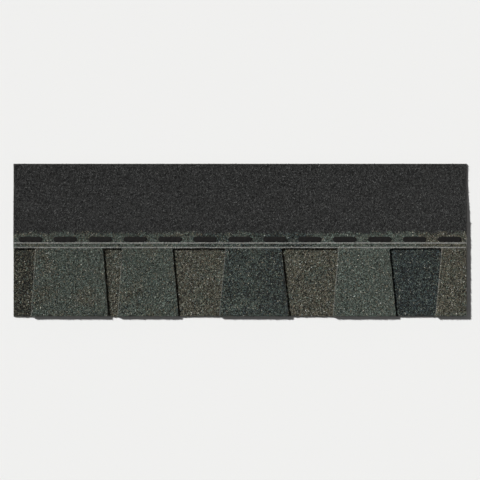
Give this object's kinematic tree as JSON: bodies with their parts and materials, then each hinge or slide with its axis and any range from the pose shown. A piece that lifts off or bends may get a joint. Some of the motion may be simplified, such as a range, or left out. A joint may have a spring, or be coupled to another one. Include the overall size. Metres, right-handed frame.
{
  "type": "laminated asphalt shingle",
  "caption": "Laminated asphalt roofing shingle lying flat: a granule-faced overlay ply with flared raised teeth bonded over a backing strip, with a plain headlap.",
  "frame": {"origin": "on the floor under the middle of the shingle", "axes": "+X along the shingle, +Y up the roof slope from the butt edge to the headlap, +Z out of the weather face"},
  "size_m": [1, 0.337, 0.0064],
  "materials": {
    "overlay_granules": "matte",
    "backing_granules": "matte",
    "laminating_asphalt": "satin",
    "sealant_asphalt": "satin",
    "clear_film": "gloss"
  },
  "bodies": {
    "root": {"overlay_ply": "overlay_granules", "backing_ply": "backing_granules", "laminating_adhesive": "laminating_asphalt", "sealant_strip": "sealant_asphalt", "release_tape": "clear_film"}
  },
  "joints": []
}
